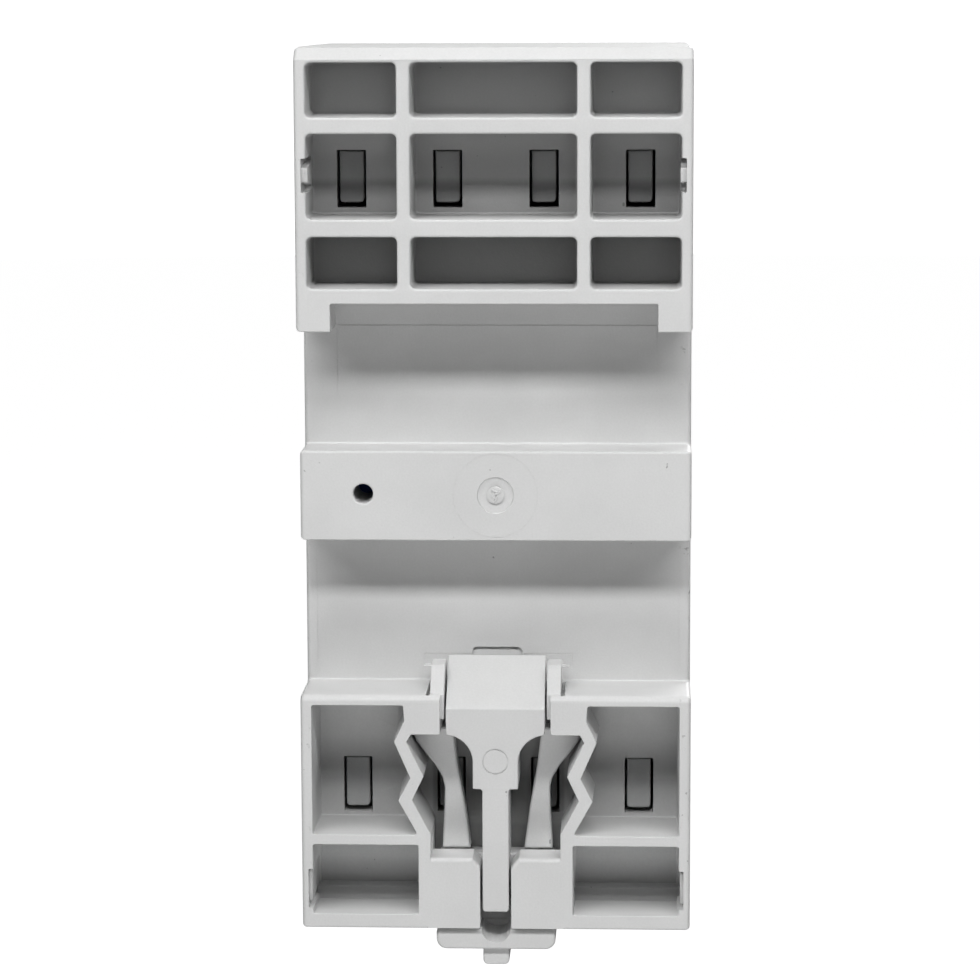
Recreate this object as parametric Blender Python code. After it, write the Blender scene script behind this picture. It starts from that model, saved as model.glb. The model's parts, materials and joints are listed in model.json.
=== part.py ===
"""Four-pole two-module DIN rail contactor. Metres, +Z up, front at -Y, rail side at +Y.
The origin is on the rail's centre line, in the plane of the rail's flanges."""
import math

import bmesh
import bpy
from mathutils import Matrix, Vector

for old in list(bpy.data.objects):
    bpy.data.objects.remove(old, do_unlink=True)

MM = 0.001
GAP = 0.3                      # between pieces that touch
HALF_W = 18.0                  # two modules of 18 mm
Z_TOP, Z_BOT = 41.2, -40.2
Y_BACK = 7.3                   # rear faces of the two blocks, past the rail plane
Y_BAND, Z_BAND = 5.0, (-4.0, 4.3)   # cross band in the rail's channel
Z_WINDOW = 18.1                # half height of the opening for the 35 mm rail
Z_HOOK, X_HOOK, Y_SLOT = 15.5, 14.9, 1.4
Y_SEAM = -26.5                 # rear and front housing meet here
Y_SHOULDER, Y_NOSE, Z_NOSE = -44.0, -60.0, 22.4
WALL = 1.5
Y_WALL = -1.8                  # inner face of the rear wall
Y_POCKET_UP, Y_POCKET_LOW = 2.3, 0.3
X_POCKET = 16.97
X_RIB, X_MID = 8.75, 7.53      # the two sides of the ribs between pocket columns
ROWS = ((34.87, 39.8), (25.7, 33.4), (19.4, 24.1))
POLES = (-13.25, -4.42, 4.42, 13.25)
WIN_W, WIN_UP, WIN_LOW = 2.7, (26.4, 31.7), (-30.75, -25.4)
POLE_X = 7.6                   # width of a terminal chamber
Z_TERM = 33.0                  # axis of the terminal screws
CARRIER_TRAVEL, BRIDGE_BACK = 3.0, 0.8

ZIG_OUT = ((8.5, -19.07), (8.4, -20.55), (9.36, -22.5), (7.88, -25.9), (9.0, -28.05),
           (7.19, -31.3))
ZIG_IN = ((5.1, -17.0), (5.1, -21.8), (7.8, -21.8), (8.2, -22.5), (6.6, -25.85), (7.75, -27.95),
          (6.0, -31.2), (6.1, -33.6))

parts = bpy.data.collections.new("din_rail_contactor")
cutters = bpy.data.collections.new("cutters")
for group in (parts, cutters):
    bpy.context.scene.collection.children.link(group)
cutters.hide_render = True
PALETTE = {                    # colour, metallic, roughness
    "case_grey": ((0.62, 0.63, 0.63), 0.0, 0.5), "front_grey": ((0.66, 0.67, 0.67), 0.0, 0.45),
    "frame_grey": ((0.45, 0.46, 0.46), 0.0, 0.55), "clip_grey": ((0.6, 0.61, 0.61), 0.0, 0.5),
    "cover_grey": ((0.3, 0.31, 0.32), 0.0, 0.4), "lens_clear": ((0.85, 0.88, 0.88), 0.0, 0.1),
    "flag_red": ((0.6, 0.03, 0.02), 0.0, 0.4), "carrier_black": ((0.03, 0.03, 0.035), 0.0, 0.45),
    "core_steel": ((0.35, 0.36, 0.38), 1.0, 0.4), "ring_copper": ((0.7, 0.33, 0.2), 1.0, 0.3),
    "bobbin_cream": ((0.75, 0.72, 0.62), 0.0, 0.5),
    "winding_copper": ((0.45, 0.16, 0.06), 0.6, 0.35),
    "pad_blue": ((0.01, 0.015, 0.09), 0.0, 0.6), "spring_steel": ((0.55, 0.55, 0.56), 1.0, 0.25),
    "contact_copper": ((0.72, 0.4, 0.25), 1.0, 0.3), "zinc_steel": ((0.62, 0.62, 0.6), 1.0, 0.35),
}


def material(name):
    found = bpy.data.materials.get(name)
    if found:
        return found
    colour, metal, rough = PALETTE[name]
    made = bpy.data.materials.new(name)
    made.use_nodes = True
    shader = made.node_tree.nodes["Principled BSDF"]
    shader.inputs["Base Color"].default_value = (*colour, 1.0)
    shader.inputs["Metallic"].default_value = metal
    shader.inputs["Roughness"].default_value = rough
    return made


def mesh_object(name, bm, group, at=(0, 0, 0)):
    """An object from a bmesh in world mm, with its origin at a point on its joint's axis."""
    bmesh.ops.recalc_face_normals(bm, faces=bm.faces)
    data = bpy.data.meshes.new(name)
    bm.to_mesh(data)
    bm.free()
    origin = Vector(at) * MM
    data.transform(Matrix.Translation(-origin) @ Matrix.Scale(MM, 4))
    data.shade_smooth()
    data.set_sharp_from_angle(angle=math.radians(30))
    made = bpy.data.objects.new(name, data)
    made.location = origin
    group.objects.link(made)
    return made


def box(x, y, z):
    """A block from its (low, high) along each axis, in either order."""
    bm = bmesh.new()
    bmesh.ops.create_cube(bm, size=1.0)
    for v in bm.verts:
        v.co = Vector([(a + b) / 2 + c * abs(b - a) for c, (a, b) in zip(v.co, (x, y, z))])
    return bm


def rod(x, z, radius, low, high, count=20):
    """A cylinder along Y."""
    bm = bmesh.new()
    bmesh.ops.create_cone(bm, cap_ends=True, segments=count, radius1=radius, radius2=radius,
                          depth=high - low)
    turned = Matrix.Rotation(math.pi / 2, 4, "X")
    bm.transform(Matrix.Translation((x, (low + high) / 2, z)) @ turned)
    return bm


def outline(points, axis, low, high):
    """A flat outline extruded along 'x', points as (y, z), or along 'y', points as (x, z)."""
    curve = bpy.data.curves.new("outline", "CURVE")
    curve.dimensions, curve.fill_mode, curve.extrude = "2D", "BOTH", (high - low) / 2
    spline = curve.splines.new("POLY")
    spline.points.add(len(points) - 1)
    for point, (a, b) in zip(spline.points, points):
        point.co = (a, b, 0, 1)
    spline.use_cyclic_u = True
    flat = bpy.data.objects.new("outline", curve)
    parts.objects.link(flat)
    bpy.context.view_layer.update()
    data = bpy.data.meshes.new_from_object(flat.evaluated_get(bpy.context.evaluated_depsgraph_get()))
    bpy.data.objects.remove(flat, do_unlink=True)
    bm = bmesh.new()
    bm.from_mesh(data)
    bpy.data.meshes.remove(data)
    bmesh.ops.remove_doubles(bm, verts=bm.verts, dist=0.001)
    bmesh.ops.dissolve_limit(bm, angle_limit=0.001, verts=bm.verts, edges=bm.edges)
    for v in bm.verts:
        a, b, t = v.co.x, v.co.y, v.co.z + (low + high) / 2
        v.co = (t, a, b) if axis == "x" else (a, t, b)
    return bm


def mirror(points, sign):
    return [(sign * a, b) for a, b in points]


def both(points):
    """Half an outline and its mirror image about X = 0."""
    return [*points, *mirror(reversed(points), -1)]


def combine(target, pieces, how):
    group = bpy.data.collections.new(f"{target.name}_{how.lower()}")
    cutters.children.link(group)
    for i, bm in enumerate(pieces):
        tool = mesh_object(f"{group.name}_{i}", bm, group)
        tool.hide_render = True
        tool.display_type = "WIRE"
    mod = target.modifiers.new(how.lower(), "BOOLEAN")
    mod.operation = how
    mod.operand_type = "COLLECTION"
    mod.collection = group
    mod.solver = "EXACT"


def built(name, slot, base, add=(), cut=(), at=(0, 0, 0)):
    made = mesh_object(name, base, parts, at)
    made.data.materials.append(material(slot))
    if add:
        combine(made, add, "UNION")
    if cut:
        combine(made, cut, "DIFFERENCE")
    return made


def spring(name, x, z, radius, wire, low, high, turns, per_turn=9):
    """A coil spring along Y: its wire is a curve."""
    curve = bpy.data.curves.new(name, "CURVE")
    curve.dimensions, curve.bevel_depth, curve.bevel_resolution = "3D", wire * MM, 1
    curve.use_fill_caps = True
    spline = curve.splines.new("POLY")
    steps = int(turns * per_turn)
    spline.points.add(steps)
    for i, point in enumerate(spline.points):
        angle = 2 * math.pi * i / per_turn
        y = (high - low - 2 * wire) * (i / steps - 0.5)
        point.co = (radius * MM * math.cos(angle), y * MM, radius * MM * math.sin(angle), 1)
    made = bpy.data.objects.new(name, curve)
    made.location = (x * MM, (low + high) / 2 * MM, z * MM)
    curve.materials.append(material("spring_steel"))
    parts.objects.link(made)
    return made


# rear housing: a profile across the full width, then pockets, windows, channel and inner cavity
profile = [(Y_SEAM, Z_BOT), (Y_SEAM, Z_TOP), (Y_BACK - 1.2, Z_TOP), (Y_BACK, Z_TOP - 1.2),
           (Y_BACK, Z_HOOK), (0, Z_HOOK), (0, Z_BAND[1]), (Y_BAND, Z_BAND[1]), (Y_BAND, Z_BAND[0]),
           (0, Z_BAND[0]), (0, -Z_WINDOW), (Y_BACK - 0.6, -Z_WINDOW), (Y_BACK, -Z_WINDOW - 0.6),
           (Y_BACK, Z_BOT)]
far = Y_BACK + 2
cuts = [box((-16.3, 16.3), (Y_SEAM - 1, Y_WALL), (-38.7, 39.7)),
        box((-X_HOOK, X_HOOK), (0.0, far), (Z_HOOK - 1, Z_WINDOW)),
        box((-19, 19), (0.0, Y_SLOT), (Z_HOOK - 1, Z_WINDOW)),
        rod(12.2, 0.3, 0.93, Y_WALL - 1, Y_BAND + 1, 16)]
for z0, z1 in ROWS:
    for x0, x1 in ((-X_POCKET, -X_RIB), (-X_MID, X_MID), (X_RIB, X_POCKET)):
        cuts.append(box((x0, x1), (Y_POCKET_UP, far), (z0, z1)))
for x in POLES:
    cuts.append(box((x - WIN_W / 2, x + WIN_W / 2), (Y_WALL - 1, Y_POCKET_UP + 1), WIN_UP))
    cuts.append(box((x - WIN_W / 2, x + WIN_W / 2), (Y_WALL - 1, Y_POCKET_LOW + 1), WIN_LOW))
for s in (-1, 1):
    pocket = [(X_POCKET, -19.07), *ZIG_OUT, (X_POCKET, -31.3)]
    cuts.append(outline(mirror(pocket, s), "y", Y_POCKET_LOW, far))
    cuts.append(box((s * 7.15, s * X_POCKET), (Y_POCKET_LOW, far), (-38.85, -32.25)))
cuts.append(outline(both(ZIG_IN), "y", Y_POCKET_LOW, far))
cuts.append(box((-6.1, 6.1), (Y_POCKET_LOW, 3.2), (-41, -33.5)))
cuts.append(outline(both([(2.15, -33.5), (1.45, -34.4), (1.45, -41.0)]), "y", 3.1, far))
built("rear_housing", "case_grey", outline(profile, "x", -HALF_W, HALF_W), cut=cuts)

# inner frame: a plate that closes the rear housing, contact supports and eight tongues
Y_FRAME = (-24.5, -22.5)
tongues = [box((x - 1.05, x + 1.05), (Y_FRAME[1] - 0.5, tip), (sum(w) / 2 - 2.25, sum(w) / 2 + 2.25))
           for x in POLES for w, tip in ((WIN_UP, 1.2), (WIN_LOW, 0.1))]
supports = [box((-15.9, 15.9), (-33.8, Y_FRAME[0] + 0.5), (s * 14.0, s * 20.5)) for s in (-1, 1)]
built("inner_frame", "frame_grey", box((-15.9, 15.9), Y_FRAME, (-38.2, 38.2)), add=tongues + supports,
      cut=[box((-14.4, 14.4), (-26, -21), (-13.4, 13.4))])

# front housing with the nose, screw wells and wire entries
x_front, z_lip = HALF_W - 0.25, 0.3
case = [(Y_SEAM - GAP, Z_BOT + z_lip), (Y_SHOULDER, Z_BOT + z_lip), (Y_SHOULDER, -Z_NOSE),
        (Y_NOSE, -Z_NOSE), (Y_NOSE, Z_NOSE), (Y_SHOULDER, Z_NOSE), (Y_SHOULDER, Z_TOP - z_lip),
        (Y_SEAM - GAP, Z_TOP - z_lip)]
Y_IN = Y_SHOULDER + WALL
cuts = [box((-16.2, 16.2), (Y_NOSE + 1.6, -20), (-Z_NOSE + WALL, Z_NOSE - WALL)),
        box((-15.5, 15.5), (Y_NOSE - 1, Y_NOSE + 0.7), (-11.0, 20.9)),
        box((-3.0, 3.0), (Y_NOSE - 1, Y_NOSE + 2), (4.0, 13.0))]
for x in POLES:
    for s in (-1, 1):
        half = POLE_X / 2
        cuts.append(box((x - half, x + half), (Y_IN, -20), (s * (Z_NOSE - WALL - 0.5), s * 38.4)))
        cuts.append(rod(x, s * Z_TERM, 3.0, Y_SHOULDER - 1, Y_IN + 1))
        cuts.append(box((x - 2.8, x + 2.8), (-34.0, -28.8), (s * 38.0, s * 42.0)))
for s in (-1, 1):
    cuts.append(rod(s * 5.5, -17.0, 2.5, Y_NOSE - 1, Y_NOSE + 2))
    cuts.append(box((s * 5.5 - 2.1, s * 5.5 + 2.1), (-57.6, -54.6), (-Z_NOSE - 1, -Z_NOSE + 2)))
built("front_housing", "front_grey", outline(case, "x", -x_front, x_front), cut=cuts)

# nose cover, window lens, flag
built("nose_cover", "cover_grey", box((-15.2, 15.2), (Y_NOSE - 0.3, Y_NOSE + 0.4), (-10.7, 20.6)),
      cut=[box((-3.2, 3.2), (Y_NOSE - 2, Y_NOSE + 2), (6.9, 11.1))])
built("window_lens", "lens_clear", box((-2.9, 2.9), (Y_NOSE - 0.2, Y_NOSE + 0.5), (7.2, 10.8)))
built("indicator_flag", "flag_red", box((-2.2, 2.2), (-58.1, -57.4), (3.4, 6.9)),
      add=[box((-0.6, 0.6), (-57.6, -51.0), (4.5, 5.6))], at=(0, -57.8, 5.0))

# magnet: pad, fixed core, rings, bobbin, winding, armature
built("damping_pad", "pad_blue", box((-14.0, 14.0), (-3.6, -2.1), (-12.0, 12.0)))
Y_YOKE, Y_LEGS, X_CORE = -3.9, -21.5, 7.3
built("fixed_core", "core_steel", box((-X_CORE, X_CORE), (Y_LEGS, Y_YOKE), (-13.0, 13.0)),
      cut=[box((-9, 9), (Y_LEGS - 1, -9.9), (s * 3.9, s * 9.4)) for s in (-1, 1)]
      + [box((-9, 9), (Y_LEGS - 1, Y_LEGS + 1.2), (s * 10.4, s * 11.0)) for s in (-1, 1)])
for side, s in (("top", 1), ("bottom", -1)):
    built(f"shading_ring_{side}", "ring_copper",
          box((-X_CORE - 1.0, X_CORE + 1.0), (Y_LEGS + 0.2, Y_LEGS + 1.0), (s * 10.55, s * 13.9)),
          cut=[box((-X_CORE - 0.2, X_CORE + 0.2), (Y_LEGS - 1, Y_LEGS + 3), (s * 10.85, s * 13.2))])
FLANGE = ((-14.2, 14.2), (-8.9, 8.9))
built("bobbin", "bobbin_cream", box((-8.4, 8.4), (-20.9, -10.2), (-5.0, 5.0)),
      add=[box(FLANGE[0], (-11.1, -10.2), FLANGE[1]), box(FLANGE[0], (-21.3, -20.3), FLANGE[1])],
      cut=[box((-7.6, 7.6), (-23, -8), (-4.2, 4.2))])
rounded = both([(9.8, 8.4), (11.8, 7.6), (12.6, 5.6), (12.6, -5.6), (11.8, -7.6), (9.8, -8.4)])
built("coil_winding", "winding_copper", outline(rounded, "y", -20.0, -11.4),
      cut=[box((-8.7, 8.7), (-22, -9), (-5.3, 5.3))])
Y_ARM = Y_LEGS - CARRIER_TRAVEL - 0.15
built("armature", "core_steel", box((-X_CORE, X_CORE), (Y_ARM - 4.8, Y_ARM), (-13.0, 13.0)),
      at=(0, Y_ARM, 0))

# contact carrier with four sprung bridges
Y_HOLD = Y_ARM - 4.8 - GAP
X_POSTS = (-8.83, 0.0, 8.83)
built("contact_carrier", "carrier_black", box((-15.4, 15.4), (Y_HOLD - 2.8, Y_HOLD), (-6.5, 6.5)),
      add=[box((x - 0.8, x + 0.8), (-47.5, Y_HOLD - 1), (-3.4, 3.4)) for x in X_POSTS]
      + [box((-15.4, 15.4), (-48.8, -46.8), (-3.4, 3.4))], at=(0, Y_HOLD, 0))
for i, s in enumerate((-1, 1)):
    spring(f"return_spring_{i + 1}", s * 12.1, 0, 1.6, 0.25, Y_HOLD + GAP, -21.6, 5)
Y_FIX = (-35.6, -34.1)
Y_TIP = Y_FIX[0] - 1.0
Y_BRIDGE = Y_TIP - (CARRIER_TRAVEL - BRIDGE_BACK) - 0.1
for i, x in enumerate(POLES):
    tips = [rod(x, s * 10.0, 1.4, Y_BRIDGE - 1.0, Y_BRIDGE, 12) for s in (-1, 1)]
    built(f"contact_bridge_{i + 1}", "contact_copper",
          box((x - 1.7, x + 1.7), (Y_BRIDGE - 2.0, Y_BRIDGE - 0.8), (-11.9, 11.9)), add=tips,
          at=(x, Y_BRIDGE, 0))
    spring(f"contact_spring_{i + 1}", x, 0, 1.2, 0.2, -46.5, Y_BRIDGE - 2.0 - GAP, 4)
    for side, s in (("top", 1), ("bottom", -1)):
        built(f"fixed_contact_{side}_{i + 1}", "contact_copper",
              box((x - 2.0, x + 2.0), Y_FIX, (s * 8.4, s * 37.2)),
              add=[rod(x, s * 10.0, 1.4, Y_TIP, Y_FIX[0] + 0.3, 12)])

# terminals: captive screw on the Y axis, and the cage it draws forward
for i, x in enumerate(POLES):
    for side, s in (("top", 1), ("bottom", -1)):
        z = s * Z_TERM
        built(f"terminal_screw_{side}_{i + 1}", "zinc_steel", rod(x, z, 2.7, -43.6, -41.7, 16),
              add=[rod(x, z, 1.95, -42.0, Y_FIX[0] - GAP, 12)],
              cut=[box((x - 3, x + 3), (-45, -42.7), (z - 0.4, z + 0.4))], at=(x, -41.7, z))
        built(f"terminal_cage_{side}_{i + 1}", "zinc_steel",
              box((x - 3.4, x + 3.4), (-38.3, -27.1), (z - 3.3, z + 3.3)),
              cut=[box((x - 2.4, x + 2.4), (-36.8, -28.3), (z - 5, z + 5)),
                   rod(x, z, 2.15, -40, -36, 12)],
              at=(x, -38.3, z))

# coil terminals: the screw and its plate travel together, above a tapped lead
for i, s in enumerate((-1, 1)):
    x, z = s * 5.5, -17.0
    built(f"coil_screw_{i + 1}", "zinc_steel", rod(x, z, 2.1, -59.7, -58.2, 16),
          add=[rod(x, z, 1.45, -58.5, -53.0, 12)],
          cut=[box((x - 3, x + 3), (-61, -59.0), (z - 0.3, z + 0.3))], at=(x, -58.2, z))
    built(f"coil_clamp_{i + 1}", "zinc_steel",
          box((x - 2.6, x + 2.6), (-57.9, -57.1), (z - 2.6, z + 2.6)),
          cut=[rod(x, z, 1.75, -60, -55, 12)], at=(x, -57.1, z))
    built(f"coil_lead_{i + 1}", "contact_copper",
          box((s * 7.9, s * 9.7), (-53.9, -21.6), (-10.4, -9.8)),
          add=[box((s * 2.9, s * 9.7), (-54.5, -53.8), (-20.2, -9.8))],
          cut=[rod(x, z, 1.75, -56, -52, 12)])

# rail clip: wedge head, neck, stem, base under the guides, pull tab with a slot and a tongue
Y0, Y1 = 0.6, 7.1
head = [(Y0, -21.6), (Y1, -21.6), (Y1, -19.4), (1.9, -15.3), (Y_SLOT, -15.6), (Y_SLOT, -18.0),
        (Y0, -18.6)]
neck = [(3.4, -21.4), (2.04, -23.4), (2.04, -26.4), (1.25, -27.4), (1.25, -38.8)]
built("din_clip", "clip_grey", outline(head, "x", -4.57, 4.57),
      add=[outline(both(neck), "y", Y0, Y1), box((-5.5, 5.5), (Y0, 2.9), (-40.6, -34.0)),
           box((-5.6, 5.6), (Y0, Y1 - 0.3), (-42.3, -40.5)),
           box((-1.45, 1.45), (Y0, Y1 - 0.9), (-43.95, -42.1))],
      cut=[box((-1.2, 1.2), (3.2, 9), (-41.8, -38.6))], at=(0, Y0, -30.0))
arm = [(2.4, -33.7), (5.2, -33.7), (5.1, -30.0), (4.95, -27.0), (5.85, -25.5), (7.6, -23.3),
       (7.9, -22.6), (7.65, -22.05), (4.1, -21.9), (3.45, -26.0)]
for side, s in (("left", 1), ("right", -1)):
    built(f"clip_arm_{side}", "clip_grey", outline(mirror(arm, s), "y", Y0, 2.9), at=(0, Y0, -30.0))
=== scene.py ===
import json
import math

import bmesh
import bpy
from mathutils import Matrix, Vector

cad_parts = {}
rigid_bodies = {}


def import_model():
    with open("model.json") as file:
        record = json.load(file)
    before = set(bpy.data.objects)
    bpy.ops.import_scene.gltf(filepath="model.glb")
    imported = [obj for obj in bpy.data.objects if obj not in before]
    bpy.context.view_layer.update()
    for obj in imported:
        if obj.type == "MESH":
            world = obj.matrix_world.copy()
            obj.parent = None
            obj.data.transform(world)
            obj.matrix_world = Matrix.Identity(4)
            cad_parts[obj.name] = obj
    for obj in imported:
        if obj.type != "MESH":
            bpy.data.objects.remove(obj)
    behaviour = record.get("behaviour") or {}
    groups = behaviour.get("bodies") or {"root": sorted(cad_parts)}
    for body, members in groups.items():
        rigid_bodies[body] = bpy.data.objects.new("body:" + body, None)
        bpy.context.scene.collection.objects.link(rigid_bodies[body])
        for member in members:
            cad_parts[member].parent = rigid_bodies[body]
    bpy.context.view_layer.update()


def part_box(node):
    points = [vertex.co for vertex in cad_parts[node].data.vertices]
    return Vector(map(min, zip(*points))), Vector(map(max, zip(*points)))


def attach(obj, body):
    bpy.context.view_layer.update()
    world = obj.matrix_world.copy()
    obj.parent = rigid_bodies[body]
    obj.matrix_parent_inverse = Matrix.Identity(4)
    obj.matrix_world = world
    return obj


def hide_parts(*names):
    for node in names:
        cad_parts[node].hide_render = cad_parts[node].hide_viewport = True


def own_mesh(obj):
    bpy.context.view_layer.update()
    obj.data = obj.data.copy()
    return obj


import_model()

# ---------------------------------------------------------------- view, stage and light
# The camera looks at the rail side from a little above, with a long lens. The floor and the wall
# round it are pale and even. A long strip and a soft panel overhead light the case, with a weak
# bounce from below and a weak fill in front.

MM = 0.001
YAW, PITCH, ROLL = math.radians(-2.54), math.radians(8.48), math.radians(-0.2)
AIM, DISTANCE, LENS = Vector((0.39, 7.3, 1.05)) * MM, 319.5 * MM, 128.7


def look_from(obj, spot, target, roll=0.0):
    obj.location = spot
    turn = (spot - target).to_track_quat("Z", "Y").to_matrix().to_4x4() @ Matrix.Rotation(roll, 4, "Z")
    obj.rotation_euler = turn.to_euler()
    bpy.context.scene.collection.objects.link(obj)


camera = bpy.data.objects.new("camera", bpy.data.cameras.new("camera"))
camera.data.lens, camera.data.sensor_width = LENS, 36.0
camera.data.clip_start, camera.data.clip_end = 0.01, 20.0
away = Vector((math.sin(YAW) * math.cos(PITCH), math.cos(YAW) * math.cos(PITCH), math.sin(PITCH)))
look_from(camera, AIM + away * DISTANCE, AIM, ROLL)
bpy.context.scene.camera = camera


def lamp(name, spot, size, watts, height=None):
    light = bpy.data.lights.new(name, "AREA")
    light.shape, light.size, light.energy = "DISK" if height is None else "RECTANGLE", size, watts
    light.size_y = height or size
    look_from(bpy.data.objects.new(name, light), Vector(spot), Vector((0, 0, 0)))


lamp("key_strip", (0.0, 0.27, 0.3), 0.8, 2.35, 0.05)
lamp("sky_panel", (0.0, 0.05, 0.7), 0.5, 0.95)
lamp("table_bounce", (0.0, 0.33, -0.53), 0.45, 2.0)
lamp("fill_front", (-0.25, -0.55, 0.30), 0.45, 3.0)

world = bpy.data.worlds.new("studio")
bpy.context.scene.world = world
world.use_nodes = True
world.node_tree.nodes["Background"].inputs["Color"].default_value = (1.0, 1.0, 1.0, 1.0)
world.node_tree.nodes["Background"].inputs["Strength"].default_value = 0.16
bpy.context.scene.view_settings.view_transform = "Standard"
bpy.context.scene.view_settings.look = "None"


def stage_piece(name, bm, strength):
    """A plain pale surface that shines evenly and lights nothing else."""
    data = bpy.data.meshes.new(name)
    bm.to_mesh(data)
    bm.free()
    data.shade_smooth()
    obj = bpy.data.objects.new(name, data)
    bpy.context.scene.collection.objects.link(obj)
    pale = bpy.data.materials.new(name)
    pale.use_nodes = True
    shader = pale.node_tree.nodes["Principled BSDF"]
    shader.inputs["Base Color"].default_value = (0.9, 0.9, 0.9, 1.0)
    shader.inputs["Emission Color"].default_value = (1.0, 1.0, 1.0, 1.0)
    shader.inputs["Emission Strength"].default_value = strength
    data.materials.append(pale)
    obj.visible_diffuse = obj.visible_glossy = obj.visible_transmission = obj.visible_shadow = False


floor = bmesh.new()
bmesh.ops.create_circle(floor, cap_ends=True, segments=64, radius=4.0)
bmesh.ops.translate(floor, verts=floor.verts, vec=(0, 0, -0.3))
stage_piece("floor", floor, 0.85)
dome = bmesh.new()
bmesh.ops.create_uvsphere(dome, u_segments=48, v_segments=24, radius=4.0)
bmesh.ops.reverse_faces(dome, faces=dome.faces)
stage_piece("backdrop", dome, 1.0)

# ---------------------------------------------------------------- rear housing
# The rear half of the case: one injection moulding in light grey, satin thermoplastic. Two thick
# blocks stand either side of the rail, cored out from behind so that the walls cool evenly, with a
# shallow band between them. The steel mould leaves small radii on each rim and in each corner.

lo, hi = (Vector(c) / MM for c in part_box("rear_housing"))
Y_BACK, Z_TOP, Z_BOT, Y_SEAM = hi.y, hi.z, lo.z, lo.y
POLES = (-13.25, -4.42, 4.42, 13.25)
WINDOW = (2.7, 5.3)
Y_BAND, Z_BAND = 5.0, (-4.0, 4.3)
Z_REST, Z_HOOK, X_HOOK = 18.1, 15.5, 14.9


def rounded(points, radius, grow=0.0, steps=4):
    """A counter-clockwise outline moved out by grow, with an arc on each corner. radius may be a list."""
    n = len(points)
    radii = list(radius) if hasattr(radius, "__len__") else [radius] * n
    edges = []
    for i in range(n):
        a, b = Vector(points[i]), Vector(points[(i + 1) % n])
        d = (b - a).normalized()
        edges.append((a + Vector((d.y, -d.x)) * grow, d))
    ring = []
    for i in range(n):
        (p, d), (q, e) = edges[i - 1], edges[i]
        cross = d.x * e.y - d.y * e.x
        t = ((q - p).x * e.y - (q - p).y * e.x) / cross
        corner = p + d * t
        turn = math.atan2(cross, d.dot(e))
        r = max(radii[i] + grow * math.copysign(1, turn), 0.02)
        back = r * math.tan(abs(turn) / 2)
        side = math.copysign(1, turn)
        centre = corner - d * back + Vector((-d.y, d.x)) * side * r
        arm = (corner - d * back) - centre
        for k in range(steps + 1):
            ring.append(centre + Matrix.Rotation(turn * k / steps, 2) @ arm)
    return ring


AXES = {"x": lambda p, t: (t, p[0], p[1]), "y": lambda p, t: (p[0], t, p[1]),
        "z": lambda p, t: (p[0], p[1], t)}


def loft(rings, axis):
    """A closed bmesh in millimetres from (position along the axis, outline) pairs of equal length."""
    bm = bmesh.new()
    rows = [[bm.verts.new(AXES[axis](p, t)) for p in outline] for t, outline in rings]
    for a, b in zip(rows, rows[1:]):
        for i in range(len(a)):
            j = (i + 1) % len(a)
            bm.faces.new((a[i], a[j], b[j], b[i]))
    caps = [bm.faces.new(rows[0]), bm.faces.new(rows[-1])]
    for cap in caps:
        cap.normal_update()
    bmesh.ops.triangulate(bm, faces=caps)
    bmesh.ops.recalc_face_normals(bm, faces=bm.faces)
    if bm.calc_volume(signed=True) < 0:
        bmesh.ops.reverse_faces(bm, faces=bm.faces)
    return bm


def slab(points, axis, low, high, corner=0.3, edge=0.3, steps=4, arc=3):
    """An outline extruded from low to high, with rounded corners and both ends' edges rounded over."""
    ends = [(edge * (1 - math.cos(a)), -edge * (1 - math.sin(a)))
            for a in (math.pi / 2 * k / arc for k in range(arc + 1))]
    rings = [(low + dy, rounded(points, corner, grow, steps)) for dy, grow in ends]
    rings += [(high - dy, rounded(points, corner, grow, steps)) for dy, grow in reversed(ends)]
    return loft(rings, axis)


def pocket(points, mouth, floor, corner=0.7, rim=0.35, foot=0.3, steps=5, draft=0.02, axis="y"):
    """A cutter for a moulded hollow: rounded rim, drafted walls and a fillet at its floor."""
    way = math.copysign(1, mouth - floor)
    depth = abs(mouth - floor)
    rings = [(mouth + way, rounded(points, corner, rim, steps))]
    for k in range(5):
        a = math.pi / 2 * k / 4
        grow = rim * (1 - math.sin(a))
        rings.append((mouth - way * rim * (1 - math.cos(a)), rounded(points, corner, grow, steps)))
    low = -draft * depth
    for k in range(4):
        a = math.pi / 2 * k / 3
        grow = low - foot * (1 - math.cos(a))
        rings.append((floor + way * foot * (1 - math.sin(a)), rounded(points, corner, grow, steps)))
    return loft(rings, axis)


def rect(x0, x1, z0, z1):
    return [(x0, z0), (x1, z0), (x1, z1), (x0, z1)]


def turned(x, z, profile, count=40):
    """A solid of revolution about a line along Y, from (radius, y) pairs."""
    circle = [(math.cos(2 * math.pi * k / count), math.sin(2 * math.pi * k / count)) for k in range(count)]
    return loft([(y, [(x + r * c, z + r * s) for c, s in circle]) for r, y in profile], "y")


def flip(points):
    return [(-x, z) for x, z in reversed(points)]


def temporary(bm, name="tool"):
    data = bpy.data.meshes.new(name)
    bm.to_mesh(data)
    bm.free()
    obj = bpy.data.objects.new(name, data)
    bpy.context.scene.collection.objects.link(obj)
    return obj


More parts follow.
